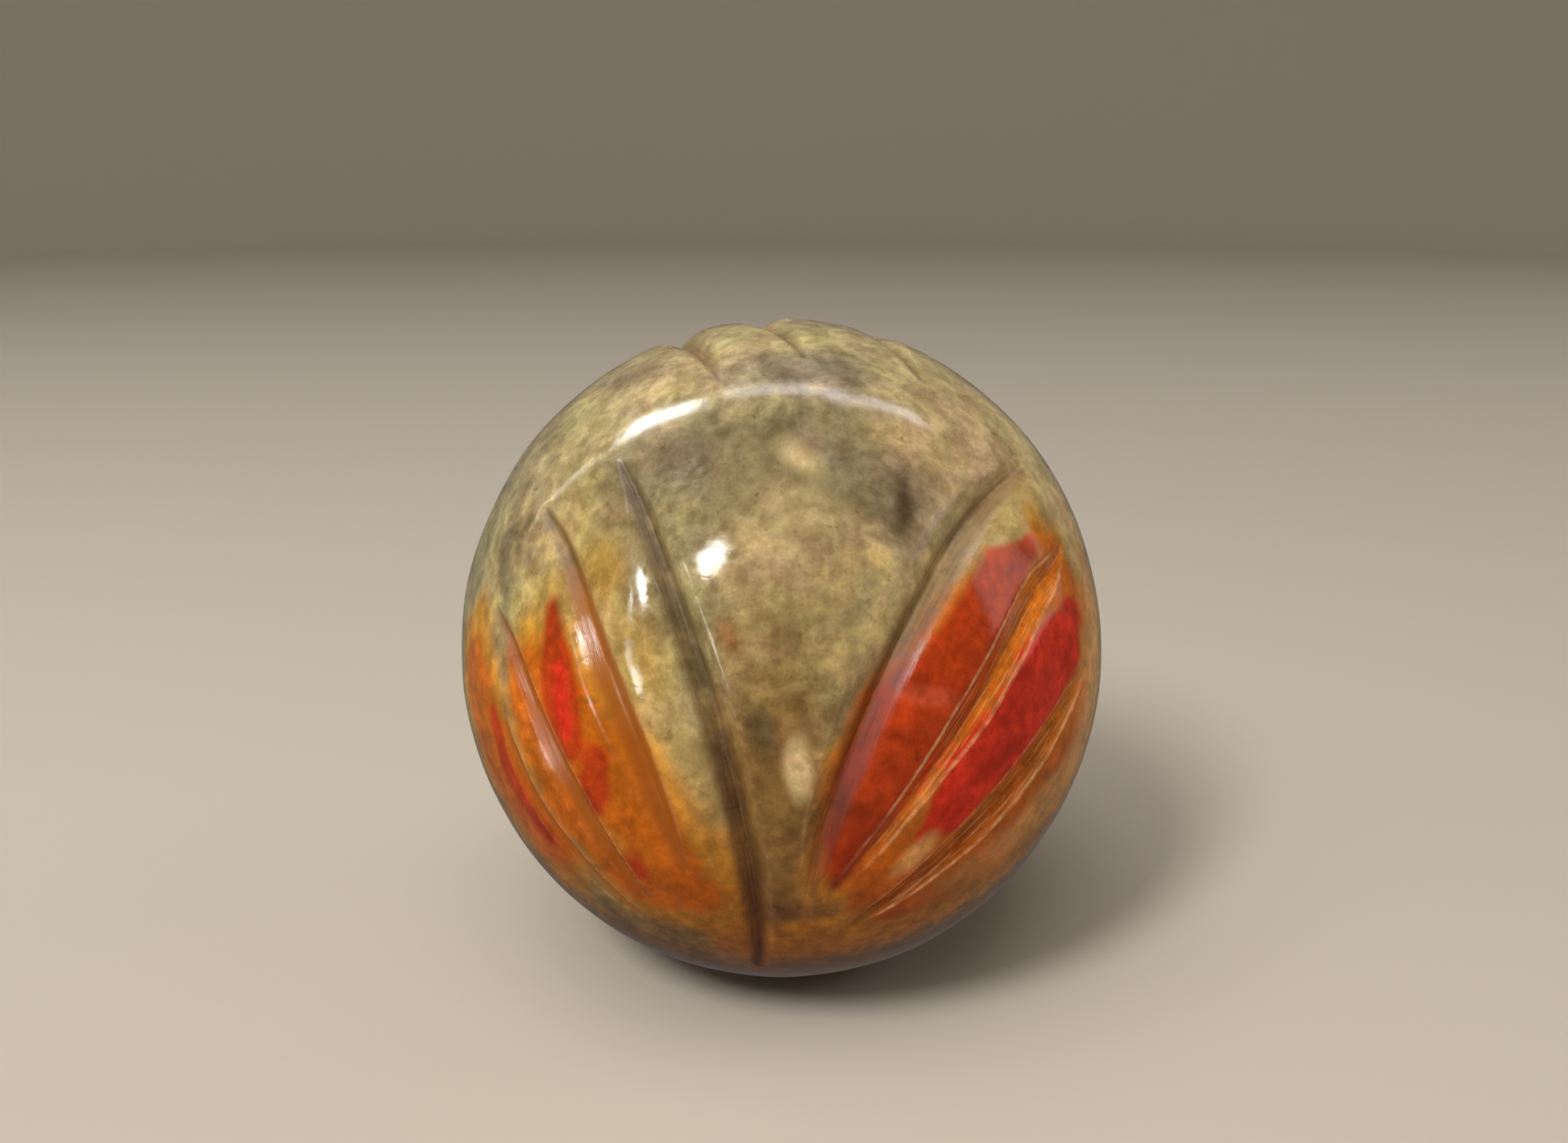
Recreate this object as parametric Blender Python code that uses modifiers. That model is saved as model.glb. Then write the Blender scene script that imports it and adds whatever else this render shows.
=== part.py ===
# Carved stone ball: one solid piece of mottled soapstone, polished all over.
# A dressed front face lies behind a soft brow ridge, a fan of V grooves runs down it,
# a second fan comes over the top from the rear, and a small flat is ground underneath.
# Metres, +Z up. The front faces -Y, and the origin is at the middle of the flat base.
# Directions are (azimuth, elevation) in degrees from the middle of the ball:
# azimuth 0 is the front, positive to +X, and elevation 90 is the top.

import bpy
import bmesh
from math import atan2, cos, degrees, hypot, pi, radians, sin, sqrt
from mathutils import Matrix, Vector

# ---- driving dimensions -------------------------------------------------------------
BALL_WIDTH = 0.0900          # across X and Y
BALL_HEIGHT = 0.0928         # full height of the stone before the base is ground
BASE_RADIUS = 0.0130         # ground flat underneath

RIDGE_ANGLE = 58.0           # brow ridge, degrees round from the front axis
FACE_ANGLE = 27.0            # where the dressed face runs back into the ball
FACE_DEPTH = 0.0012          # greatest depth of the dressed face below the ball
FACE_FADE_START = 55.0       # degrees round the front axis from the top: full depth
FACE_FADE_END = 110.0        # and where the dressed face has died away at the sides

DEEP_CUT = 0.0022            # depth of the two grooves beside the middle panel
MAIN_CUT = 0.0017            # depth of the flank grooves
FINE_CUT = 0.0012            # depth of the finer flank grooves
FAINT_CUT = 0.0006           # depth of the last nick
REAR_CUT = 0.0022            # depth of the grooves that come over from the rear
KNEE_SHARE = 0.6             # share of a groove's depth that is its steep inner V
KNEE_SLOPE = 1.0             # rise over run of the inner V's walls

CUTTER_RISE = 0.0020         # how far a cutter stands out of the stone
CUTTER_STEP = 0.0030         # length of one facet along a groove

SHARP_ANGLE = 14.0           # edges with a greater bend are shaded sharp
AROUND = 72                  # segments round the front axis
FRONT_RINGS = 13             # rings from the front pole to the ridge
REAR_RINGS = 25              # rings from the ridge to the rear pole

HALF_WIDTH = BALL_WIDTH / 2
HALF_HEIGHT = BALL_HEIGHT / 2
CENTRE = Vector((0.0, 0.0, HALF_HEIGHT * sqrt(1 - (BASE_RADIUS / HALF_WIDTH) ** 2)))

# name, start, middle, end, depth, left shoulder, right shoulder (half widths at the
# surface, seen from outside with the start at the top)
GROOVES = [
    ("left_deep", (-38.6, 45.4), (-8.3, -0.5), (-5.4, -47.0), DEEP_CUT, 0.0052, 0.0024),
    ("left_second", (-52.4, 34.6), (-27.0, 10.0), (-15.6, -19.0), MAIN_CUT, 0.0026, 0.0020),
    ("left_third", (-57.1, 16.6), (-38.0, -3.5), (-24.5, -27.0), FINE_CUT, 0.0020, 0.0015),
    ("left_fourth", (-51.5, -1.0), (-42.0, -16.8), (-27.5, -32.5), FAINT_CUT, 0.0011, 0.0011),
    ("right_deep", (63.3, 40.9), (17.0, 14.8), (4.1, -22.9), DEEP_CUT, 0.0039, 0.0022),
    ("right_second", (61.8, 25.6), (30.0, 5.2), (8.0, -24.0), FINE_CUT, 0.0020, 0.0020),
    ("right_third", (62.0, 5.5), (36.0, -12.0), (11.0, -33.0), FINE_CUT, 0.0018, 0.0020),
    ("top_left", (-21.7, 63.5), (-130.0, 60.0), (-146.0, -28.0), REAR_CUT, 0.0036, 0.0028),
    ("top_middle", (11.7, 70.8), (-156.0, 62.0), (-153.0, -36.0), REAR_CUT, 0.0036, 0.0028),
    ("top_right", (54.3, 61.1), (168.0, 60.0), (-160.0, -38.0), REAR_CUT, 0.0036, 0.0028),
    ("rear_left", (-104.0, 40.0), (-127.0, 14.0), (-140.0, -20.0), MAIN_CUT, 0.0032, 0.0024),
    ("rear_right", (112.0, 42.0), (158.0, 26.0), (-170.0, -34.0), MAIN_CUT, 0.0024, 0.0032),
]


# ---- places on the ball -------------------------------------------------------------
def on_round_ball(direction):
    """Place on a round ball as wide as the stone, which the stone is a stretched copy of."""
    azimuth, elevation = (radians(angle) for angle in direction)
    ray = Vector((sin(azimuth) * cos(elevation), -cos(azimuth) * cos(elevation),
                  sin(elevation) * HALF_WIDTH / HALF_HEIGHT))
    return ray.normalized() * HALF_WIDTH


def face_depth(polar, clock):
    """Depth of the dressed face, by degrees from the front axis and round it from the top."""
    if polar >= RIDGE_ANGLE or polar <= FACE_ANGLE:
        return 0.0
    across = (RIDGE_ANGLE - polar) / (RIDGE_ANGLE - FACE_ANGLE)
    steep_then_soft = across * (1 - across) ** 3 * 256 / 27     # 1 at a quarter of the way
    fade = (FACE_FADE_END - abs(clock)) / (FACE_FADE_END - FACE_FADE_START)
    fade = min(max(fade, 0.0), 1.0)
    return FACE_DEPTH * steep_then_soft * fade * fade * (3 - 2 * fade)


def circle_through(first, second, third):
    """Centre, unit axis and radius of the circle through three points."""
    to_second = second - first
    to_third = third - first
    axis = to_second.cross(to_third)
    centre = first + (to_third.length_squared * axis.cross(to_second)
                      + to_second.length_squared * to_third.cross(axis)) / (2 * axis.length_squared)
    return centre, axis.normalized(), (first - centre).length


# ---- pieces -------------------------------------------------------------------------
def new_object(name, mesh, collection):
    piece = bpy.data.objects.new(name, mesh)
    collection.objects.link(piece)
    return piece


def make_ball(collection):
    """A sphere with its poles front and rear, one ring of it on the brow ridge."""
    shape = bmesh.new()
    rings = FRONT_RINGS + REAR_RINGS
    bmesh.ops.create_uvsphere(shape, u_segments=AROUND, v_segments=rings, radius=1.0)
    for vert in shape.verts:
        ring = rings * atan2(hypot(vert.co.x, vert.co.y), vert.co.z) / pi
        if ring <= FRONT_RINGS:
            polar = RIDGE_ANGLE * ring / FRONT_RINGS
        else:
            polar = RIDGE_ANGLE + (180 - RIDGE_ANGLE) * (ring - FRONT_RINGS) / REAR_RINGS
        clock = degrees(atan2(vert.co.x, vert.co.y))
        spread = sin(radians(polar))
        inwards = 1 - face_depth(polar, clock) / HALF_WIDTH
        vert.co.x = HALF_WIDTH * inwards * spread * sin(radians(clock))
        vert.co.y = -HALF_WIDTH * inwards * cos(radians(polar))
        vert.co.z = HALF_HEIGHT * inwards * spread * cos(radians(clock))
    bmesh.ops.recalc_face_normals(shape, faces=shape.faces)
    bmesh.ops.translate(shape, verts=shape.verts, vec=CENTRE)
    mesh = bpy.data.meshes.new("carved_stone_ball")
    shape.to_mesh(mesh)
    shape.free()
    return new_object("carved_stone_ball", mesh, collection)


def make_base_cutter(collection):
    """A slab whose top is the ground flat, z = 0."""
    shape = bmesh.new()
    thickness = CENTRE.z
    bmesh.ops.create_cube(shape, size=1.0)
    bmesh.ops.scale(shape, verts=shape.verts, vec=(BALL_WIDTH * 1.2, BALL_WIDTH * 1.2, thickness))
    bmesh.ops.translate(shape, verts=shape.verts, vec=(0.0, 0.0, -thickness / 2))
    mesh = bpy.data.meshes.new("base_slab")
    shape.to_mesh(mesh)
    shape.free()
    return new_object("base_slab", mesh, collection)


def groove_section(depth, left, right):
    """Rise and sideways place of a cutter's corners: a steep inner V, then flatter shoulders."""
    knee = depth * KNEE_SHARE
    knee_side = knee / KNEE_SLOPE
    top = depth + CUTTER_RISE
    flare = (top - knee) / (depth - knee)
    left_top = knee_side + (left - knee_side) * flare
    right_top = knee_side + (right - knee_side) * flare
    return [(0.0, 0.0), (knee, knee_side), (top, right_top), (top, -left_top), (knee, -knee_side)]


def make_groove_cutter(groove, collection, stretch):
    """A ring with a V edge. The edge meets the ball at both tips and is deepest between them."""
    name, start, middle, end, depth, left, right = groove
    first = on_round_ball(start)
    last = on_round_ball(end)
    outward = on_round_ball(middle).normalized()
    deepest = outward * (HALF_WIDTH - depth)
    hub, axis, radius = circle_through(first, deepest, last)
    radial = (deepest - hub).normalized()
    sideways = outward.cross(last - first).normalized()

    section = []
    for rise, side in groove_section(depth, left, right):
        offset = outward * rise + sideways * side
        section.append((radius + offset.dot(radial), offset.dot(axis)))
    turn = 0.0
    for (x0, z0), (x1, z1) in zip(section, section[1:] + section[:1]):
        turn += x0 * z1 - x1 * z0
    if turn > 0:
        section.reverse()        # the outer side has to run from top to bottom

    shape = bmesh.new()
    corners = [shape.verts.new((x, 0.0, z)) for x, z in section]
    for here, after in zip(corners, corners[1:] + corners[:1]):
        shape.edges.new((here, after))
    mesh = bpy.data.meshes.new(name)
    shape.to_mesh(mesh)
    shape.free()

    cutter = new_object(name, mesh, collection)
    cutter.parent = stretch
    turned = Matrix((radial, axis.cross(radial), axis)).transposed().to_4x4()
    cutter.matrix_basis = Matrix.Translation(hub) @ turned
    steps = round(2 * pi * radius / CUTTER_STEP)
    screw = cutter.modifiers.new("turn", "SCREW")
    screw.axis = "Z"
    screw.angle = 2 * pi
    screw.steps = steps
    screw.render_steps = steps
    screw.use_merge_vertices = True
    screw.merge_threshold = 0.00001
    return cutter


def stone_material():
    material = bpy.data.materials.new("mottled_stone")
    material.use_nodes = True
    shader = material.node_tree.nodes["Principled BSDF"]
    shader.inputs["Base Color"].default_value = (0.36, 0.28, 0.15, 1.0)
    shader.inputs["Roughness"].default_value = 0.18
    shader.inputs["Metallic"].default_value = 0.0
    return material


def cut(piece, cutter):
    boolean = piece.modifiers.new(cutter.name, "BOOLEAN")
    boolean.operation = "DIFFERENCE"
    boolean.solver = "EXACT"
    boolean.object = cutter


def main():
    for old in list(bpy.data.objects):
        bpy.data.objects.remove(old, do_unlink=True)
    parts = bpy.data.collections.new("carved_stone_ball")
    cutters = bpy.data.collections.new("cutters")
    bpy.context.scene.collection.children.link(parts)
    bpy.context.scene.collection.children.link(cutters)

    ball = make_ball(parts)
    stretch = new_object("round_ball_to_stone", None, cutters)
    stretch.location = CENTRE
    stretch.scale.z = HALF_HEIGHT / HALF_WIDTH
    tools = [make_base_cutter(cutters)]
    tools += [make_groove_cutter(groove, cutters, stretch) for groove in GROOVES]
    for tool in tools:
        tool.hide_render = True
        tool.display_type = "WIRE"
        cut(ball, tool)
    ball.data.materials.append(stone_material())
    ball.data.shade_smooth()
    ball.data.set_sharp_from_angle(angle=radians(SHARP_ANGLE))


main()
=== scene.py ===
import bpy
import bmesh
import numpy as np
from math import cos, pi, radians, sin, sqrt
from mathutils import Matrix, Vector, noise


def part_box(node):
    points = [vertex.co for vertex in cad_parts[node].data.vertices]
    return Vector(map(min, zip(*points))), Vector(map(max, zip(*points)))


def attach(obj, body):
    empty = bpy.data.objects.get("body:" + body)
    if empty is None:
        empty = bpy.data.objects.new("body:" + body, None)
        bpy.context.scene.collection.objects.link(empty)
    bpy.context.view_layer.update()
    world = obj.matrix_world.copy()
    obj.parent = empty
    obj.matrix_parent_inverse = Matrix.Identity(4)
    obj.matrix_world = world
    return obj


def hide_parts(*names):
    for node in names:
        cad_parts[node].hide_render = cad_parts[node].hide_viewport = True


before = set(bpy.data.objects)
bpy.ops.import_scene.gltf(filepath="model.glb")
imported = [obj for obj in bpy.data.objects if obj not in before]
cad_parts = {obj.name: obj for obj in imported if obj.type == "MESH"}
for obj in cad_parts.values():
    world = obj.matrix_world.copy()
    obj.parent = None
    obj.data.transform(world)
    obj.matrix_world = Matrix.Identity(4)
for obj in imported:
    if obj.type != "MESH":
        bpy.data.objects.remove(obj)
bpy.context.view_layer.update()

nodeName = "carved_stone_ball"
mm = 0.001
nowhere = -50.0                  # mm inside something: too far outside it to count


# the stone: its body, brow ridge and dressed face. Directions are (azimuth, elevation) in
# degrees from the middle of the ball, azimuth 0 at the front and positive to +X
stone = {
    "baseRadius": 13.0 * mm,     # ground flat underneath
    "baseRound": 0.5 * mm,       # how softly the flat runs into the ball
    "ridgeAngle": 58.0,          # degrees round from the front axis
    "faceAngle": 27.0,
    "faceDepth": 1.2 * mm,
    "fadeStart": 55.0,           # degrees round the front axis from the top
    "fadeEnd": 110.0,
    "ridgeSoft": 0.08,           # rounding of the ridge, as a share of the face's width
    "waves": ((11.0, 0.16), (4.5, 0.035)),       # hand polish: wavelength and height in mm
    "divisions": 6,
    # the mesh is made finer twice, this far outside a cut, in mm, and this near the ridge, in
    # degrees, and once more this near a cut's shoulder and valley and the ridge
    "finer": ((2.0, 5.0), (0.6, 2.8)),
    "finest": {"shoulder": 0.2, "valley": 0.8, "ridge": 1.1},
}
lowest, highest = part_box(nodeName)
halfWidth = (highest.y - lowest.y) / 2
baseShare = sqrt(1 - (stone["baseRadius"] / halfWidth) ** 2)
halfHeight = (highest.z - lowest.z) / (1 + baseShare)
centre = Vector((0.0, 0.0, lowest.z + halfHeight * baseShare))
ballMm = halfWidth / mm          # radius of the round ball that the stone is a stretch of

# the cuts: the way each one runs (first tip, deepest place, last tip), depth in mm, half widths
# in mm left and right seen with the first tip up, share of the depth that is the steep inner V,
# shares of the depth at even steps along it, how bright the bruised edge is on each side, and
# the stain in it, partly painted shade in the crease: half width and offset in mm, and how grey
# it is at the first and the last tip. A stain with a half width below zero doesn't show
deepCut, mainCut, fineCut, faintCut, rearCut = 2.2, 1.7, 1.2, 0.6, 2.2
arch = (0.0, 0.80, 0.95, 1.0, 1.0, 0.95, 0.85, 0.6, 0.0)
grooves = {
    "leftDeep": (((-38.6, 45.4), (-8.3, -0.5), (-5.4, -47.0)), deepCut, (5.2, 2.2), 0.45,
                 (0.0, 0.56, 0.80, 0.94, 1.0, 0.90, 0.72, 0.50, 0.0), (0.0, 0.05),
                 (1.6, -0.2, 1.0, 1.0)),
    "leftSecond": (((-52.4, 34.6), (-27.0, 10.0), (-15.6, -19.0)), mainCut, (2.6, 2.0), 0.35,
                   (0.0, 0.48, 0.76, 0.92, 0.95, 0.9, 0.7, 0.4, 0.0), (0.0, 0.15),
                   (2.0, 0.2, 1.8, -4.0)),
    "leftThird": (((-57.1, 16.6), (-38.0, -3.5), (-24.5, -27.0)), fineCut, (2.0, 1.5), 0.35,
                  (0.0, 0.55, 0.85, 1.0, 1.0, 0.9, 0.7, 0.4, 0.0), (0.05, 0.25),
                  (1.4, 0.0, 0.6, -2.0)),
    "leftFourth": (((-51.5, -1.0), (-42.0, -16.8), (-27.5, -32.5)), faintCut, (1.1, 1.1), 0.5,
                   arch, (0.1, 0.3), (0.7, 0.0, 0.0, 0.0)),
    # rightDeep's stain is set over onto its lit right wall: painted shade there
    "rightDeep": (((63.3, 40.9), (17.0, 14.8), (4.1, -22.9)), deepCut, (3.9, 2.2), 0.25,
                  (0.0, 0.72, 0.92, 1.0, 1.0, 0.90, 0.72, 0.5, 0.0), (0.15, 0.0),
                  (1.7, 0.7, 1.0, 1.0)),
    "rightSecond": (((61.8, 25.6), (30.0, 5.2), (8.0, -24.0)), fineCut, (2.0, 2.0), 0.15,
                    (0.0, 0.90, 1.0, 1.0, 0.95, 0.62, 0.42, 0.3, 0.0), (1.0, 0.8),
                    (-2.0, 0.0, 0.0, 0.0)),
    "rightThird": (((62.0, 5.5), (36.0, -12.0), (11.0, -33.0)), fineCut, (1.8, 2.0), 0.4,
                   (0.0, 0.6, 0.9, 1.0, 1.0, 0.9, 0.7, 0.4, 0.0), (0.4, 1.0),
                   (-2.0, 0.0, 0.0, 0.0)),
    "topLeft": (((-21.7, 63.5), (-130.0, 60.0), (-146.0, -28.0)), rearCut, (3.6, 2.8), 0.6,
                arch, (0.0, 0.15), (1.2, 0.0, 1.0, 0.9)),
    "topMiddle": (((11.7, 70.8), (-156.0, 62.0), (-153.0, -36.0)), rearCut, (3.6, 2.8), 0.6,
                  arch, (0.0, 0.15), (1.2, 0.0, 1.0, 0.9)),
    "topRight": (((54.3, 61.1), (168.0, 60.0), (-160.0, -38.0)), rearCut, (3.6, 2.8), 0.6,
                 arch, (0.0, 0.15), (1.2, 0.0, 1.0, 0.9)),
    "rearLeft": (((-104.0, 40.0), (-127.0, 14.0), (-140.0, -20.0)), mainCut, (3.2, 2.4), 0.6,
                 arch, (0.1, 0.4), (1.4, 0.0, 1.0, 0.9)),
    "rearRight": (((112.0, 42.0), (158.0, 26.0), (-170.0, -34.0)), mainCut, (2.4, 3.2), 0.6,
                  arch, (0.3, 0.4), (1.4, 0.0, 1.0, -0.5)),
}
cutFinish = {
    "kneeSlope": 1.0,            # steepness of the inner V, mm down for each mm across
    "kneeRound": 0.5,            # softness in mm where it opens out, at the bottom, at a shoulder
    "valleyRound": 0.50,
    "shoulderRound": 0.32,
    "steps": 200,                # places along a cut that its depth is worked out at
    "smoothing": 21,             # how many of them the depth is evened out over
}


def rayTo(direction):
    azimuth, elevation = radians(direction[0]), radians(direction[1])
    return Vector((sin(azimuth) * cos(elevation), -cos(azimuth) * cos(elevation), sin(elevation)))


def roundRay(direction):         # the same place on the round ball
    ray = rayTo(direction)
    ray.z *= halfWidth / halfHeight
    return ray.normalized()


def softStep(x):
    x = np.clip(x, 0, 1)
    return x * x * (3 - 2 * x)


def softRise(x, softness):       # 0 below, x above, with a rounded corner between
    return 0.5 * (x + np.sqrt(x * x + softness * softness))


def evened(shares, places):      # the shares at even steps, drawn as one smooth line
    steps = cutFinish["steps"]
    fine = np.interp(np.linspace(0, len(shares) - 1, steps + 1), np.arange(len(shares)), shares)
    window = np.hanning(cutFinish["smoothing"] + 2)
    padded = np.pad(fine, len(window) // 2, mode="reflect", reflect_type="odd")
    smooth = np.convolve(padded, window / window.sum(), mode="valid")[:steps + 1]
    return np.interp(places * steps, np.arange(steps + 1), np.clip(smooth, 0, 1))


def cutField(rays, groove):
    # for unit rays on the round ball, in mm: how far inside the cut's walls, the place across and
    # along the cut, the distance in from its shoulder and how far inside its stain, which is partly
    # painted shade. Besides them, how bright its edge is and how grey its stain
    way, depth, halves, kneeShare, shares, edges, (band, offset, greyFirst, greyLast) = groove
    first, deepest, last = (np.array(roundRay(d)) for d in way)
    axis = np.cross(deepest - first, last - first)
    axis /= np.linalg.norm(axis)
    if np.dot(np.cross(first, last), axis) < 0:
        axis = -axis
    hub = axis * np.dot(axis, first)
    spoke = first - hub
    reach = np.linalg.norm(spoke)
    spoke /= reach
    onward = np.cross(axis, spoke)

    def angleOf(points):
        away = points - hub
        return np.arctan2(away @ onward, away @ spoke)

    whole = float(angleOf(last[None])[0]) % (2 * pi)
    angle = angleOf(rays)
    angle = np.where(angle < -(2 * pi - whole) / 2, angle + 2 * pi, angle)
    share = evened(shares, np.clip(angle / whole, 0, 1))
    beyond = np.maximum(np.maximum(-angle, angle - whole), 0) * reach * ballMm
    side = (np.arcsin(np.clip(rays @ axis, -1, 1)) - np.arcsin(np.dot(axis, first))) * ballMm
    knee = depth * kneeShare                 # height of the inner V, and half its width
    kneeSide = knee / cutFinish["kneeSlope"]
    soft = cutFinish["valleyRound"]
    out = np.sqrt(side * side + soft * soft) - soft
    slope = (depth - knee) / (np.where(side < 0, halves[0], halves[1]) - kneeSide)
    steep = out * cutFinish["kneeSlope"]
    flat = knee + (out - kneeSide) * slope
    rise = steep - softRise(steep - flat, cutFinish["kneeRound"])
    wall = depth * share - beyond - rise
    bright = np.where(side < 0, edges[0], edges[1])
    return {
        "wall": wall,
        "side": side,
        "along": angle * reach * ballMm,
        "rim": wall / slope,
        "band": band * np.sqrt(share) - beyond - np.abs(side - offset),
        "edge": bright * softStep(share * 2.5 - 0.3),      # fades out towards the tips
        "grey": np.clip(greyFirst + (greyLast - greyFirst) * angle / whole, 0, 1),
    }


def faceDrop(polar, clock):      # how far the dressed face lies under the ball, in metres
    across = (stone["ridgeAngle"] - polar) / (stone["ridgeAngle"] - stone["faceAngle"])
    across = np.clip(softRise(across, stone["ridgeSoft"]), 0, 1)
    hump = across * (1 - across) ** 3 * 256 / 27       # highest, 1, a quarter of the way in
    fade = softStep((stone["fadeEnd"] - np.abs(clock)) / (stone["fadeEnd"] - stone["fadeStart"]))
    return stone["faceDepth"] * hump * fade


def nearestCut(rays):            # cutField's findings for the nearest cut, and the cuts' depth
    marks = {"wall": np.full(len(rays), nowhere)}
    depth = np.zeros(len(rays))
    for groove in grooves.values():
        found = cutField(rays, groove)
        nearer = found["wall"] > marks["wall"]
        for key, values in found.items():
            marks[key] = np.where(nearer, values, marks.get(key, values))
        depth = np.maximum(depth, softRise(found["wall"], cutFinish["shoulderRound"]))
    return marks, depth


def raysOf(shape):
    rays = np.array([v.co for v in shape.verts])
    return rays / np.linalg.norm(rays, axis=1)[:, None]


def frontAngles(rays):           # degrees from the front axis, and round it from the top
    polar = np.degrees(np.arccos(np.clip(-rays[:, 1], -1, 1)))
    return polar, np.degrees(np.arctan2(rays[:, 0], rays[:, 2]))


def ridgeDistance(rays):         # degrees from the ridge where it shows, large elsewhere
    polar, clock = frontAngles(rays)
    return np.where(np.abs(clock) < stone["fadeEnd"], np.abs(polar - stone["ridgeAngle"]), 90.0)


def refine(shape, wanted):       # halves every edge whose two ends are both wanted
    for index, vert in enumerate(shape.verts):
        vert.tag = bool(wanted[index])
    edges = [e for e in shape.edges if e.verts[0].tag and e.verts[1].tag]
    bmesh.ops.subdivide_edges(shape, edges=edges, cuts=1)
    bmesh.ops.triangulate(shape, faces=[f for f in shape.faces if len(f.verts) > 3])


# the four deep colours, each laid on as strokes: azimuth, elevation and half width in mm at
# each place along a stroke
strokes = {
    "amber": (((-46, 14, 3.0), (-39, 7, 9.5), (-30, -6, 11.5), (-20, -20, 10.5), (-12, -28, 6.0)),
              ((-66, 6, 5.5), (-58, -8, 7.5), (-46, -24, 6.5)),
              ((-63, 14, 3.0), (-57, 4, 4.2), (-52, -4, 4.0)),
              ((56, 31, 2.4), (62, 15, 4.5), (53, 2, 8.0), (38, -8, 9.5), (25, -20, 7.5),
               (13, -30, 3.5)),
              ((60, 27, 3.2), (48, 23, 4.0), (35, 13, 4.5), (14, -2, 5.5), (10, -20, 4.5)),
              ((73, 20, 3.0), (72, 4, 5.0), (60, -14, 6.0), (34, -28, 6.0), (16, -34, 6.0),
               (-8, -36, 4.0)),
              ((150, 10, 7.0), (176, 0, 10.0), (-168, -20, 8.0))),
    "orange": (((-62, 8, 2.2), (-56, 0, 2.6), (-52, -6, 2.4)),
               ((-50, 10, 2.2), (-41, 6, 7.2), (-31, -6, 9.3), (-22, -19, 7.4), (-14, -24, 3.5)),
               ((-64, 5, 3.5), (-56, -6, 5.5), (-45, -20, 5.0)),
               ((55, 28, 2.2), (60, 19, 3.4), (53, 9, 6.0), (40, -3, 7.4), (28, -13, 6.6),
                (15, -24, 3.0)),
               ((40, 25, 3.6), (28, 17, 4.4), (18, 7, 5.5), (12, -6, 4.6), (9, -18, 2.0)),
               ((59, 26, 2.4), (47, 21, 3.6), (34, 11, 4.4), (22, -1, 4.0), (12, -20, 2.6)),
               ((58, 22, 2.2), (50, 15, 2.8), (42, 8, 2.6)),
               ((66, 15, 2.0), (64, 2, 3.5), (52, -10, 5.0), (36, -20, 5.0), (20, -28, 3.0)),
               ((152, 10, 5.0), (176, 0, 7.5), (-170, -16, 6.0))),
    "red": (((-42, 20, 1.5), (-38.5, 13, 2.7), (-36, 6, 3.3), (-34.5, 0, 2.2)),
            ((-29, -1, 1.8), (-30, -6, 2.5), (-31, -10, 1.2)),
            ((-55, 0, 1.0), (-52, -9, 1.6), (-44, -20, 1.4)),
            ((-25, -18, 1.3), (-24, -21, 1.0)),
            ((51, 28, 1.8), (42, 25, 3.6), (33, 17, 4.8), (22, 7, 5.9), (15, -3, 4.8),
             (11, -12, 3.2), (9, -21, 0.8)),
            ((20, 4, 1.6), (13, -8, 1.6), (9, -16, 1.0)),
            ((156, 8, 2.5), (170, 2, 4.0), (-178, -8, 3.0))),
    "crimson": (((58, 15, 2.6), (54, 11, 4.6), (46, 7, 5.2), (38, 1, 4.8), (31, -4, 4.3),
                 (27, -10, 3.2), (23, -13, 1.2)),
                ((-37.5, 12, 0.9), (-36, 6, 1.4), (-35, 2, 0.8)),
                ((166, 0, 1.2), (176, -6, 2.0))),
}


def strokeField(rays, lines):    # how far inside the nearest stroke, in mm
    best = np.full(len(rays), nowhere)
    points = rays * ballMm
    for line in lines:
        for here, after in zip(line, line[1:]):
            first, last = (np.array(roundRay(spot[:2])) * ballMm for spot in (here, after))
            run = last - first
            share = np.clip((points - first) @ run / (run @ run), 0, 1)
            near = first + share[:, None] * run
            near *= (ballMm / np.linalg.norm(near, axis=1))[:, None]
            half = here[2] + (after[2] - here[2]) * share
            best = np.maximum(best, half - np.linalg.norm(points - near, axis=1))
    return best


def buildStone():
    shape = bmesh.new()
    bmesh.ops.create_icosphere(shape, subdivisions=stone["divisions"], radius=1.0)
    for beside, nearRidge in stone["finer"]:
        rays = raysOf(shape)
        refine(shape, (nearestCut(rays)[0]["wall"] > -beside) | (ridgeDistance(rays) < nearRidge))
    rays = raysOf(shape)
    marks = nearestCut(rays)[0]
    finest = stone["finest"]
    shoulder = np.abs(marks["wall"]) < finest["shoulder"]
    valley = (marks["wall"] > -finest["shoulder"]) & (np.abs(marks["side"]) < finest["valley"])
    refine(shape, shoulder | valley | (ridgeDistance(rays) < finest["ridge"]))
    rays = raysOf(shape)
    print("stone mesh:", len(rays), "points,", len(shape.faces), "triangles")

    marks, depth = nearestCut(rays)
    del marks["wall"]            # the finish doesn't read it
    for name, stroke in strokes.items():
        marks[name] = strokeField(rays, stroke)
    marks["ridge"] = ridgeDistance(rays)
    wave = np.zeros(len(rays))
    for length, height in stone["waves"]:
        places = rays * ballMm / length
        wave += height * np.array([noise.noise(Vector(place)) - 0.5 for place in places])
    reach = 1 + (wave - depth) * mm / halfWidth - faceDrop(*frontAngles(rays)) / halfWidth
    stretch = np.array((halfWidth, halfWidth, halfHeight))
    points = rays * reach[:, None] * stretch + np.array(centre)
    points[:, 2] = softRise(points[:, 2] - lowest.z, stone["baseRound"]) + lowest.z

    for vert, place in zip(shape.verts, points):
        vert.co = place
    for face in shape.faces:
        face.smooth = True
    bmesh.ops.recalc_face_normals(shape, faces=shape.faces)
    mesh = bpy.data.meshes.new("polishedStone")
    shape.to_mesh(mesh)
    shape.free()
    for key, values in marks.items():
        mark = mesh.attributes.new(key, "FLOAT", "POINT")
        mark.data.foreach_set("value", values.astype(np.float32))
    piece = bpy.data.objects.new("polishedStone", mesh)
    bpy.context.collection.objects.link(piece)
    return piece


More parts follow.
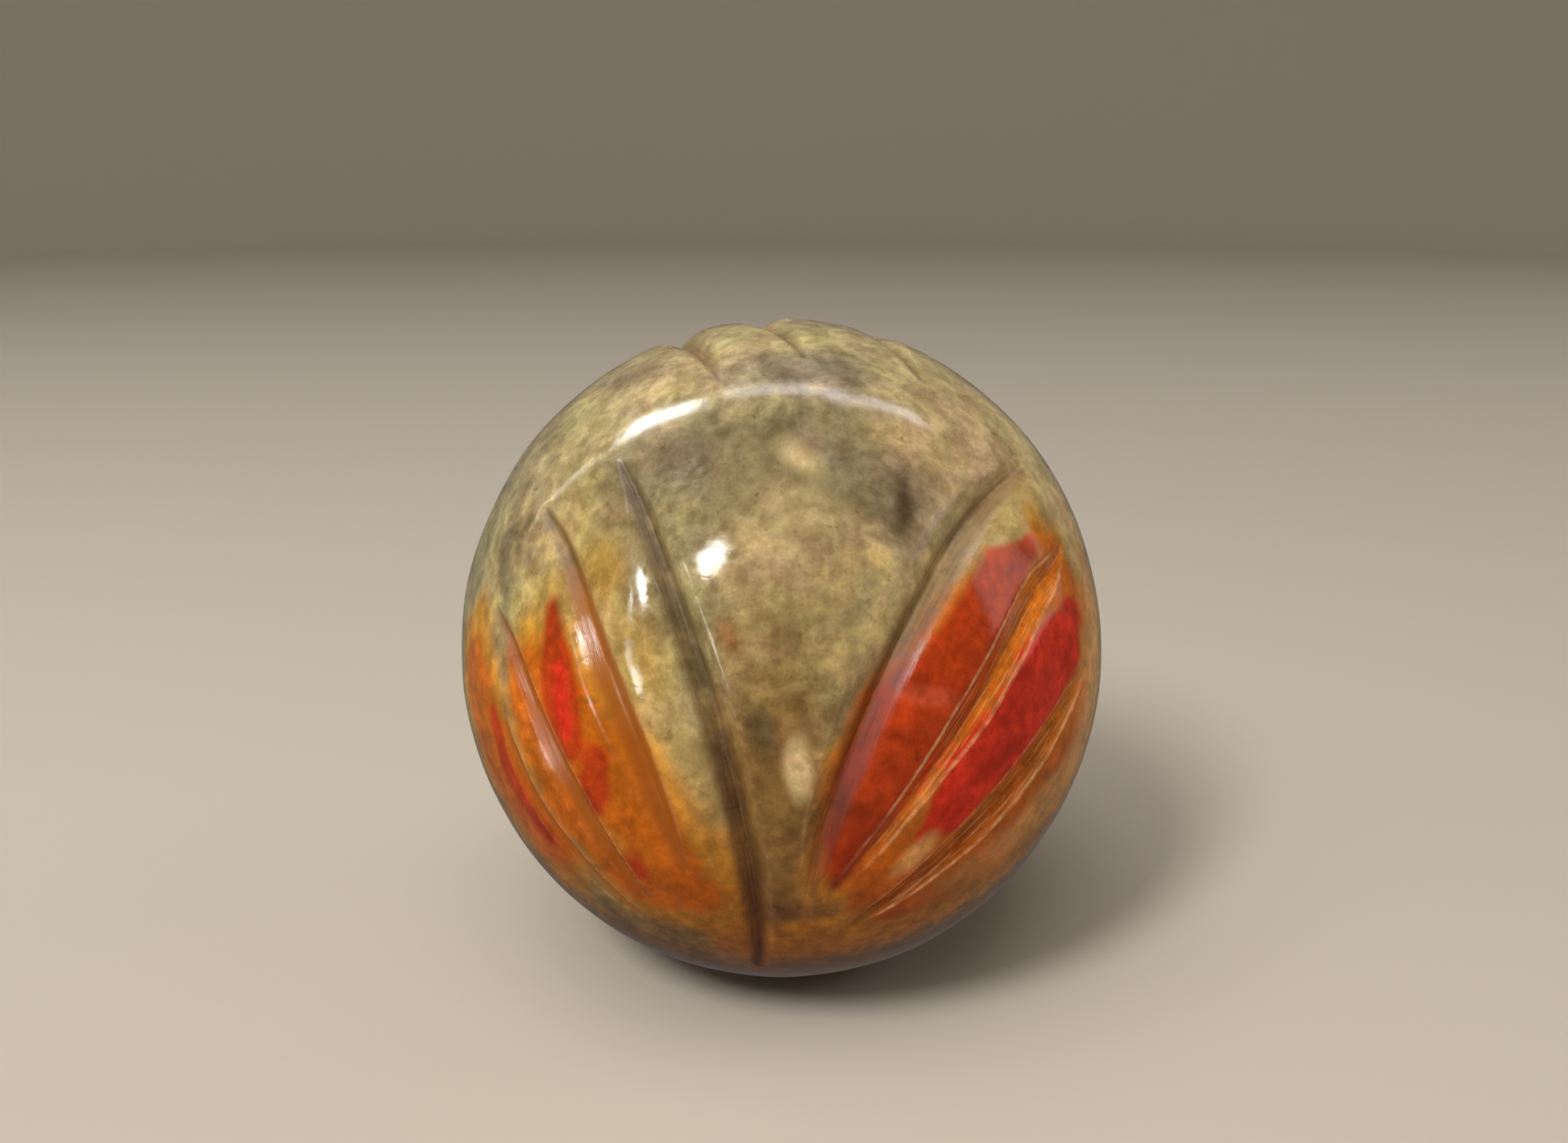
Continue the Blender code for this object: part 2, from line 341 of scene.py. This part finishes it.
# node helpers: a socket or a plain value goes into each input
def feed(tree, socket, value):
    if isinstance(value, bpy.types.NodeSocket):
        tree.links.new(value, socket)
    elif value is not None:
        socket.default_value = value


def calc(tree, operation, a, b=None):
    node = tree.nodes.new("ShaderNodeMath")
    node.operation = operation
    for socket, value in zip(node.inputs, (a, b)):
        feed(tree, socket, value)
    return node.outputs[0]


def ramp(tree, value, low, high, toLow=0.0, toHigh=1.0):         # low may be above high
    node = tree.nodes.new("ShaderNodeMapRange")
    node.interpolation_type = "SMOOTHSTEP"
    for socket, amount in zip(node.inputs, (value, low, high, toLow, toHigh)):
        feed(tree, socket, amount)
    return node.outputs[0]


def blend(tree, factor, a, b, kind="MIX"):
    node = tree.nodes.new("ShaderNodeMix")
    node.data_type = "RGBA"
    node.blend_type = kind
    feed(tree, node.inputs[0], factor)
    for socket, colour in zip((node.inputs[6], node.inputs[7]), (a, b)):
        feed(tree, socket, colour if isinstance(colour, bpy.types.NodeSocket) else (*colour, 1.0))
    return node.outputs[2]


def noiseAt(tree, vector, perMm, detail, rough, warp):
    node = tree.nodes.new("ShaderNodeTexNoise")
    feed(tree, node.inputs["Vector"], vector)
    node.inputs["Scale"].default_value = perMm
    node.inputs["Detail"].default_value = detail
    node.inputs["Roughness"].default_value = rough
    node.inputs["Distortion"].default_value = warp
    return node.outputs[0]


def markOf(tree, name):          # a mark that buildStone left on the mesh
    node = tree.nodes.new("ShaderNodeAttribute")
    node.attribute_name = name
    return node.outputs["Fac"]


# the stone's colours, linear
colours = {
    "cream": (0.53, 0.41, 0.18),
    "khaki": (0.36, 0.285, 0.15),
    "greyGreen": (0.36, 0.33, 0.20),
    "greyBrown": (0.215, 0.172, 0.11),
    "dome": (0.55, 0.46, 0.265),
    "beige": (0.52, 0.40, 0.235),
    "bone": (0.72, 0.58, 0.33),
    "lilac": (0.25, 0.205, 0.165),
    "ochre": (0.43, 0.27, 0.07),
    "drab": (0.29, 0.225, 0.11),
    "amber": (0.57, 0.275, 0.032),
    "orange": (0.55, 0.140, 0.005),
    "red": (0.45, 0.045, 0.005),
    "crimson": (0.58, 0.028, 0.010),
    # pink: used only for a painted reflection on the right of the panel
    "pink": (0.64, 0.12, 0.055),
    "dark": (0.10, 0.075, 0.035),
    "earth": (0.24, 0.115, 0.028),
    "bruise": (0.92, 0.52, 0.24),
    "rust": (0.22, 0.085, 0.03),
    "warmCream": (0.62, 0.45, 0.20),
    "peach": (0.86, 0.50, 0.20),
    "groove": (0.34, 0.09, 0.007),
}

# clouds and patches in the stone: from, to, half width in mm, softness of the edge,
# raggedness, strength, colour. Later ones lie over earlier ones
patches = {
    "domeCloud": ((-60, 66), (75, 66), 17.0, 0.45, 0.5, 0.75, "dome"),
    "domeRear": ((-150, 50), (150, 50), 20.0, 0.5, 0.6, 0.6, "dome"),
    "domeLilac": ((-6, 67), (26, 66), 4.5, 0.6, 0.9, 0.9, "lilac"),
    "domeStain": ((-70, 60), (-52, 64), 3.0, 0.6, 0.8, 0.7, "greyBrown"),
    "limbGreen": ((-75, 44), (-74, -4), 9.0, 0.5, 0.5, 0.7, "greyGreen"),
    "limbStain": ((-67, 41), (-56, 19), 1.6, 0.7, 0.8, 0.8, "greyBrown"),
    # grey-brown under the ridge: partly the stone's tone, partly painted shade
    "panelTopToneAndShade": ((-26, 44), (34, 46), 10.0, 0.45, 0.6, 0.92, "greyBrown"),
    "panelMiddle": ((-2, 34), (2, 4), 9.0, 0.5, 0.6, 0.7, "drab"),
    "panelLow": ((-2, 6), (0, -34), 8.0, 0.5, 0.6, 0.8, "earth"),
    "panelCream": ((4, 49.5), (7, 47.5), 1.9, 0.7, 2.2, 0.75, "bone"),
    "panelLight": ((1, 40), (9, 37.5), 3.0, 0.7, 1.2, 0.7, "beige"),
    "panelPink": ((-1.5, 34), (0.5, 29.5), 2.4, 0.7, 0.7, 0.6, "beige"),
    "panelSpot": ((2.4, 2.6), (2.9, -2.6), 1.6, 0.5, 2.0, 0.85, "bone"),
    "panelDot": ((-8.6, 20.8), (-7.6, 18.8), 1.3, 0.7, 1.5, 0.75, "rust"),
    "panelDark": ((-3.6, 8.4), (-2.2, 4.5), 1.8, 0.6, 0.7, 0.8, "dark"),
    "rightOchre": ((27, 51), (42, 47), 2.6, 0.7, 0.8, 0.6, "ochre"),
    "rightBeige": ((38, 50), (70, 44), 8.0, 0.5, 0.5, 0.9, "beige"),
    "panelShade": ((15, 49), (23, 44), 4.5, 0.6, 0.8, 0.9, "greyBrown"),
    "panelOlive": ((27.5, 44.5), (22.5, 33.5), 1.1, 0.8, 0.9, 0.9, "dark"),
    "rightFacet": ((46, 40), (17, 22), 3.4, 0.5, 0.5, 0.6, "beige"),
    "rightStrip": ((48, 35), (22, 18), 2.6, 0.4, 0.4, 0.8, "beige"),
    # painted shade: a darker earth band round the bottom of the ball
    "lowShadeBand": ((-60, -38), (60, -38), 14.0, 0.5, 0.5, 0.8, "earth"),
    "leftCream": ((-42, 34), (-11, -12), 4.2, 0.4, 0.5, 0.92, "cream"),
    "leftCreamLow": ((-24, 6), (-14, -10), 2.8, 0.5, 0.7, 0.7, "warmCream"),
    "rightBlush": ((62, 37), (46, 33), 3.2, 0.5, 0.8, 0.8, "warmCream"),
    "rightLimb": ((76, 52), (72, 12), 6.5, 0.5, 0.7, 0.9, "bone"),
    "leftFlank": ((-20, 18), (-12, -8), 2.4, 0.6, 0.6, 0.6, "cream"),
    "leftShade": ((-34, 37), (-17, 20), 3.4, 0.6, 0.8, 0.85, "drab"),
    "leftOchre": ((-33, 29), (-31, 26), 2.8, 0.6, 0.7, 0.9, "ochre"),
    "leftOchreLow": ((-24, 19), (-21, 13), 2.6, 0.6, 0.7, 0.7, "ochre"),
    "leftBlush": ((-46, 18), (-38, 26), 3.2, 0.6, 0.8, 0.85, "ochre"),
    "sideOchre": ((100, 8), (84, -26), 7.0, 0.5, 0.6, 0.7, "ochre"),
    "rearGrey": ((-120, 22), (-100, -30), 11.0, 0.5, 0.6, 0.6, "greyBrown"),
}

# the stroke colours over them: softness of the edge and raggedness in mm, strength
strokeLook = {
    "amber": (2.2, 3.5, 0.92),
    "orange": (1.6, 4.0, 0.95),
    "red": (0.8, 2.6, 0.96),
    "crimson": (0.6, 3.0, 0.97),
}

# small spots laid over the strokes
spots = {
    "rightPeach": ((72, 20), (64, -10), 4.8, 0.7, 1.4, 0.95, "peach"),
    "rightPeachLow": ((60, -10), (36, -23), 2.8, 0.7, 1.6, 0.75, "peach"),
    # a painted reflection, pink, on the right of the panel
    "rightPinkReflection": ((19, 10.5), (26, 9.0), 1.2, 0.5, 1.4, 0.5, "pink"),
    "rightCreamSpot": ((23.5, -15.0), (20.0, -19.0), 1.7, 0.5, 1.2, 0.8, "peach"),
    "leftPaleSpot": ((-31, -13), (-27, -16), 1.6, 0.7, 1.0, 0.7, "amber"),
}


def patchMask(tree, place, ragged, patch):
    start, end, half, soft, warp = patch[:5]
    stretch = Vector((halfWidth, halfWidth, halfHeight))
    first, last = roundRay(start) * stretch, roundRay(end) * stretch
    middle = (first + last) / 2
    middle *= first.length / middle.length
    outward = middle.normalized()
    longWay = (last - first) - outward * (last - first).dot(outward)
    length = longWay.length / 2 / mm
    longWay.normalize()
    across = outward.cross(longWay)
    node = tree.nodes.new("ShaderNodeMapping")
    node.vector_type = "TEXTURE"
    feed(tree, node.inputs["Vector"], place)
    node.inputs["Location"].default_value = middle / mm
    turn = Matrix((longWay, across, outward)).transposed()
    node.inputs["Rotation"].default_value = turn.to_euler()
    node.inputs["Scale"].default_value = (length + half, half, 4 * half)
    measure = tree.nodes.new("ShaderNodeVectorMath")
    measure.operation = "LENGTH"
    feed(tree, measure.inputs[0], node.outputs[0])
    distance = calc(tree, "ADD", measure.outputs["Value"], calc(tree, "MULTIPLY", ragged, warp))
    return ramp(tree, distance, 1 + soft, 1 - soft)


# the finish: what the noises look like, and how much of each thing there is. Four numbers in a
# row are where it starts, where it is full, and how much there is at each
finish = {
    "noises": {                  # clumps per mm, detail, roughness and warp of each
        "clouds": (0.055, 5.0, 0.58, 0.3),
        "mottle": (0.17, 7.0, 0.62, 0.15),
        "specks": (0.60, 5.0, 0.6, 0.0),
        "grain": (2.6, 3.0, 0.6, 0.0),
        "hues": (0.11, 4.0, 0.6, 0.4),
        "blots": (0.30, 4.0, 0.55, 0.5),
        "flecks": (0.42, 4.0, 0.65, 0.6),
        "streaks": (1.0, 4.0, 0.6, 0.0),
    },
    "raggedSpecks": 0.45,        # part the specks have in the ragged edges of the colours
    "bed": "greyGreen",
    "ground": (                  # laid over the bed: noise, where it starts and is full, colour
        ("clouds", 0.38, 0.62, "khaki"),
        ("mottle", 0.48, 0.68, "cream"),
        ("mottle", 0.44, 0.28, "greyBrown"),
    ),
    "tints": (                   # multiplied over it all: noise or height in mm, from, to, tints
        ("hues", 0.34, 0.66, (1.07, 0.99, 0.98), (0.97, 1.00, 0.86)),
        # darker and browner towards the bottom: painted shade under the ball, tinted like a brown
        # floor's reflection
        ("height", 6.0, -38.0, (1.0, 1.0, 1.0), (0.50, 0.33, 0.15)),
        ("mottle", 0.30, 0.70, (0.78, 0.75, 0.72), (1.20, 1.19, 1.16)),
        ("specks", 0.32, 0.68, (0.83, 0.81, 0.78), (1.12, 1.13, 1.14)),
        ("blots", 0.42, 0.56, (0.93, 0.915, 0.84), (1.09, 1.09, 1.07)),
        ("grain", 0.3, 0.7, (0.91, 0.91, 0.91), (1.07, 1.07, 1.07)),
        ("flecks", 0.62, 0.74, (1.0, 1.0, 1.0), (0.70, 0.60, 0.48)),
    ),
    "streaksPerMm": (3.0, 0.12),             # across a cut and along it
    "stainAndShadeRagged": 1.2,          # mm, as are the places where a stain and its painted shade start and are full
    "stainAndShadeEdge": (-0.8, 0.7),
    "warmStainAndShade": 0.85,           # strength of the groove colour in a stain that isn't grey; partly the stone's colour, partly painted shade in the cut
    "greyStainAndShade": ((0.43, 0.36, 0.28), (0.60, 0.51, 0.41)),       # its darkest and palest streaks, partly dirt and partly painted shade in the crease
    "edgeRagged": 0.5,
    "edgeLine": (0.42, 0.10),    # mm from a shoulder where its bruise starts and is full
    "edgeSpecks": 0.8,           # part the specks have in breaking it up
    "edgeBroken": (0.72, 1.02, 0.25, 1.0),   # by the level of the streaks and specks
    "scoredStreaks": (0.50, 0.62),           # bright streaks further down a bruised wall
    "scoredDepth": (0.0, 0.6, 0.0, 0.55),    # by mm in from the shoulder
    "bruise": 0.7,               # strength of its colour
    "polish": (0.3, 0.7, 0.07, 0.16),        # roughness, uneven with the specks
    "wornShoulder": (0.7, 0.0, 0.0, 0.14),   # roughness added near a shoulder, by mm from it
    "wornRidge": (3.5, 0.5, 0.0, 0.10),      # and near the ridge, by degrees
    "dullInStainAndShade": (0.0, 0.5, 0.10, 0.38),     # and in a stain and its painted shade, by how grey it is
    "bumps": {"specks": 0.030, "grain": 0.006, "streaks": 0.10},      # heights in mm
    "refraction": 1.48,
    "depthShare": 0.22,          # light that goes a little way in, and how far by colour
    "depthColour": (1.0, 0.45, 0.22),
    "depthMm": 1.6,
}


def laidOver(tree, place, ragged, ground, layers):
    for patch in layers.values():
        mask = calc(tree, "MULTIPLY", patchMask(tree, place, ragged, patch), patch[5])
        ground = blend(tree, mask, ground, colours[patch[6]])
    return ground


def stoneColour(tree, place, seen, ragged):
    ground = colours[finish["bed"]]
    for name, start, full, colour in finish["ground"]:
        ground = blend(tree, ramp(tree, seen[name], start, full), ground, colours[colour])
    ground = laidOver(tree, place, ragged, ground, patches)
    for name, (soft, warp, strength) in strokeLook.items():
        inside = calc(tree, "ADD", markOf(tree, name), calc(tree, "MULTIPLY", ragged, warp))
        cover = ramp(tree, inside, -soft, soft, 0.0, strength)
        ground = blend(tree, cover, ground, colours[name])
    ground = laidOver(tree, place, ragged, ground, spots)
    for name, start, full, tintStart, tintFull in finish["tints"]:
        tint = blend(tree, ramp(tree, seen[name], start, full), tintStart, tintFull)
        ground = blend(tree, 1.0, ground, tint, "MULTIPLY")
    return ground


def cutColourAndShade(tree, ground, seen, inCut, rim):         # stains in the cuts, partly painted shade in the creases and on a lit wall, and bruised edges
    warm = blend(tree, finish["warmStainAndShade"], ground, colours["groove"])
    # the grey darkening in a cut: partly dirt, partly painted shade in the crease
    grey = blend(tree, ramp(tree, seen["streaks"], 0.3, 0.7), *finish["greyStainAndShade"])
    grey = blend(tree, 1.0, ground, grey, "MULTIPLY")
    ground = blend(tree, inCut, ground, blend(tree, markOf(tree, "grey"), warm, grey))

    line = ramp(tree, calc(tree, "ABSOLUTE", rim), *finish["edgeLine"])
    specks = calc(tree, "MULTIPLY", seen["specks"], finish["edgeSpecks"])
    broken = ramp(tree, calc(tree, "ADD", seen["streaks"], specks), *finish["edgeBroken"])
    line = calc(tree, "MULTIPLY", line, broken)
    scored = calc(tree, "MULTIPLY", ramp(tree, seen["streaks"], *finish["scoredStreaks"]),
                  ramp(tree, rim, *finish["scoredDepth"]))
    bruise = calc(tree, "MULTIPLY", calc(tree, "MAXIMUM", line, scored), markOf(tree, "edge"))
    return blend(tree, bruise, ground, blend(tree, finish["bruise"], ground, colours["bruise"]))


def stonePolish(tree, seen, inCut, rim):
    rough = ramp(tree, seen["specks"], *finish["polish"])
    worn = ramp(tree, calc(tree, "ABSOLUTE", rim), *finish["wornShoulder"])
    rough = calc(tree, "ADD", rough, worn)
    rough = calc(tree, "ADD", rough, ramp(tree, markOf(tree, "ridge"), *finish["wornRidge"]))
    dull = ramp(tree, markOf(tree, "grey"), *finish["dullInStainAndShade"])
    return calc(tree, "ADD", rough, calc(tree, "MULTIPLY", inCut, dull))


def stoneBump(tree, seen, inCut):
    heights = {"specks": seen["specks"], "grain": seen["grain"],
               "streaks": calc(tree, "MULTIPLY", seen["streaks"], inCut)}
    height = 0.0
    for name, value in heights.items():
        raised = calc(tree, "MULTIPLY", value, finish["bumps"][name])
        height = calc(tree, "ADD", raised, height)
    bump = tree.nodes.new("ShaderNodeBump")
    bump.inputs["Strength"].default_value = 1.0
    bump.inputs["Distance"].default_value = mm
    feed(tree, bump.inputs["Height"], height)
    return bump.outputs[0]


def stoneMaterial():
    material = bpy.data.materials.new("mottledStone")
    material.use_nodes = True
    tree = material.node_tree
    shader = tree.nodes["Principled BSDF"]
    coords = tree.nodes.new("ShaderNodeTexCoord")
    toMm = tree.nodes.new("ShaderNodeMapping")         # millimetres from the middle of the ball
    toMm.inputs["Location"].default_value = -centre / mm
    toMm.inputs["Scale"].default_value = (1 / mm,) * 3
    feed(tree, toMm.inputs["Vector"], coords.outputs["Object"])
    place = toMm.outputs[0]
    parts = tree.nodes.new("ShaderNodeSeparateXYZ")
    feed(tree, parts.inputs[0], place)
    lines = tree.nodes.new("ShaderNodeCombineXYZ")     # streaks run along each cut
    for socket, name, perMm in zip(lines.inputs, ("side", "along"), finish["streaksPerMm"]):
        feed(tree, socket, calc(tree, "MULTIPLY", markOf(tree, name), perMm))

    seen = {"height": parts.outputs[2]}
    for name, values in finish["noises"].items():
        vector = lines.outputs[0] if name == "streaks" else place
        seen[name] = noiseAt(tree, vector, *values)
    ragged = calc(tree, "SUBTRACT", seen["mottle"], 0.5)
    specks = calc(tree, "SUBTRACT", seen["specks"], 0.5)
    ragged = calc(tree, "ADD", ragged, calc(tree, "MULTIPLY", specks, finish["raggedSpecks"]))
    inCut = calc(tree, "MULTIPLY", ragged, finish["stainAndShadeRagged"])
    inCut = ramp(tree, calc(tree, "ADD", markOf(tree, "band"), inCut), *finish["stainAndShadeEdge"])
    rim = calc(tree, "MULTIPLY", ragged, finish["edgeRagged"])
    rim = calc(tree, "ADD", markOf(tree, "rim"), rim)

    ground = stoneColour(tree, place, seen, ragged)
    feed(tree, shader.inputs["Base Color"], cutColourAndShade(tree, ground, seen, inCut, rim))
    feed(tree, shader.inputs["Roughness"], stonePolish(tree, seen, inCut, rim))
    feed(tree, shader.inputs["Normal"], stoneBump(tree, seen, inCut))
    shader.inputs["IOR"].default_value = finish["refraction"]
    shader.inputs["Subsurface Weight"].default_value = finish["depthShare"]
    shader.inputs["Subsurface Radius"].default_value = finish["depthColour"]
    shader.inputs["Subsurface Scale"].default_value = finish["depthMm"] * mm
    return material


# a pale floor that sweeps up into a low wall all round
floorLook = {
    "radius": 2.6,
    "bend": 0.9,                 # radius of the sweep
    "wall": 1.5,
    "sides": 96,
    "steps": 12,
    "gap": 0.02 * mm,            # how far under the stone it lies
    "colour": (0.62, 0.56, 0.48),
    "roughness": 0.6,
}


def floorMaterial():
    material = bpy.data.materials.new("paleFloor")
    material.use_nodes = True
    shader = material.node_tree.nodes["Principled BSDF"]
    shader.inputs["Base Color"].default_value = (*floorLook["colour"], 1.0)
    shader.inputs["Roughness"].default_value = floorLook["roughness"]
    shader.inputs["Specular IOR Level"].default_value = 0.0
    return material


def buildFloor():
    shape = bmesh.new()
    radius, bend = floorLook["radius"], floorLook["bend"]
    bmesh.ops.create_circle(shape, segments=floorLook["sides"], radius=radius - bend, cap_ends=True)
    rings = []
    for step in range(1, floorLook["steps"] + 1):
        turn = step / floorLook["steps"] * pi / 2
        rings.append((radius - bend + bend * sin(turn), bend - bend * cos(turn)))
    rings.append((radius, floorLook["wall"]))
    edges = list(shape.edges)
    for wide, high in rings:
        found = bmesh.ops.extrude_edge_only(shape, edges=edges)["geom"]
        edges = [e for e in found if isinstance(e, bmesh.types.BMEdge)]
        for vert in (v for v in found if isinstance(v, bmesh.types.BMVert)):
            flat = Vector((vert.co.x, vert.co.y, 0.0)).normalized() * wide
            vert.co = (flat.x, flat.y, high)
    level = lowest.z - floorLook["gap"]
    bmesh.ops.translate(shape, verts=shape.verts, vec=(0.0, 0.0, level))
    for face in shape.faces:
        face.smooth = len(face.verts) == 4
    mesh = bpy.data.meshes.new("floor")
    shape.to_mesh(mesh)
    shape.free()
    floor = bpy.data.objects.new("floor", mesh)
    floor.visible_glossy = False                       # keeps the lower stone's colours deep
    bpy.context.collection.objects.link(floor)
    mesh.materials.append(floorMaterial())


# camera and lights. A light stands along a direction from the ball's middle and faces it. A
# "shade" light isn't seen in the polish, and a "polish" light is seen there and lights nothing
studio = {
    "cameraFromBall": (0.35 * mm, -202.84 * mm, 68.84 * mm),
    "cameraPitch": 15.9,         # degrees down from level
    "lens": 34.22,
    "sensor": 36.0,
    "nearest": 0.01,             # nothing is drawn closer to the camera than this
    "world": ((0.93, 0.88, 0.81), 0.13),
    "lights": {                  # direction, distance, width, height, watts, colour, part played
        "window": ((-33.5, 44.5), 1.2, 0.25, 0.38, 8.0, (1.0, 0.98, 0.94), "both"),
        "panelGlint": ((-46.0, 1.2), 0.39, 0.066, 0.056, 0.20, (1.0, 0.99, 0.95), "polish"),
        "panelGlintHigh": ((-51.5, 10.0), 0.39, 0.024, 0.046, 0.05, (1.0, 0.99, 0.95), "polish"),
        "pinkCard": ((96.0, 15.0), 1.2, 0.30, 0.50, 0.50, (1.0, 0.88, 0.82), "polish"),
        "edgeGlint": ((-55.0, 28.1), 1.24, 0.06, 0.26, 1.1, (1.0, 0.99, 0.95), "polish"),
        "brow": ((-112.0, 57.0), 1.2, 0.28, 0.42, 8.0, (1.0, 0.99, 0.98), "polish"),
        "browLow": ((-106.0, 30.0), 1.2, 0.08, 0.40, 1.0, (1.0, 0.95, 0.86), "polish"),
        "browTop": ((180.0, 75.0), 1.2, 0.60, 0.24, 2.2, (0.93, 0.90, 1.0), "polish"),
        "browRight": ((119.0, 63.0), 1.2, 0.24, 0.60, 2.2, (0.93, 0.90, 1.0), "polish"),
        "soft": ((-28.0, 64.0), 1.5, 1.5, 1.5, 12.8, (1.0, 0.96, 0.90), "shade"),
        "rightFill": ((102.0, 20.0), 1.6, 0.7, 0.7, 3.2, (1.0, 0.95, 0.88), "shade"),
        "leftFill": ((-75.0, 25.0), 1.6, 0.9, 0.9, 2.0, (0.95, 0.97, 1.0), "shade"),
    },
}


def addLight(name, direction, distance, width, height, watts, colour, part):
    light = bpy.data.lights.new(name, "AREA")
    light.shape = "ELLIPSE" if name == "window" else "RECTANGLE"     # rounds the window's shine
    light.size, light.size_y = width, height
    light.energy = watts
    light.color = colour
    lamp = bpy.data.objects.new(name, light)
    lamp.location = centre + rayTo(direction) * distance
    lamp.rotation_euler = rayTo(direction).to_track_quat("Z", "Y").to_euler()
    lamp.visible_camera = False
    lamp.visible_glossy = part != "shade"
    lamp.visible_diffuse = part != "polish"
    bpy.context.collection.objects.link(lamp)


def buildStudio():
    camera = bpy.data.objects.new("camera", bpy.data.cameras.new("camera"))
    camera.data.lens = studio["lens"]
    camera.data.sensor_width = studio["sensor"]
    camera.data.clip_start = studio["nearest"]
    camera.location = centre + Vector(studio["cameraFromBall"])
    camera.rotation_euler = (radians(90 - studio["cameraPitch"]), 0.0, 0.0)
    bpy.context.collection.objects.link(camera)
    bpy.context.scene.camera = camera
    for name, light in studio["lights"].items():
        addLight(name, *light)
    world = bpy.data.worlds.new("studio")
    world.use_nodes = True
    background = world.node_tree.nodes["Background"]
    background.inputs[0].default_value = (*studio["world"][0], 1.0)
    background.inputs[1].default_value = studio["world"][1]
    bpy.context.scene.world = world
    bpy.context.scene.view_settings.view_transform = "Standard"


buildStudio()
buildFloor()
print("studio ready")
ball = buildStone()
ball.data.materials.append(stoneMaterial())
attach(ball, "root")
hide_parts(nodeName)
print("stone ready")
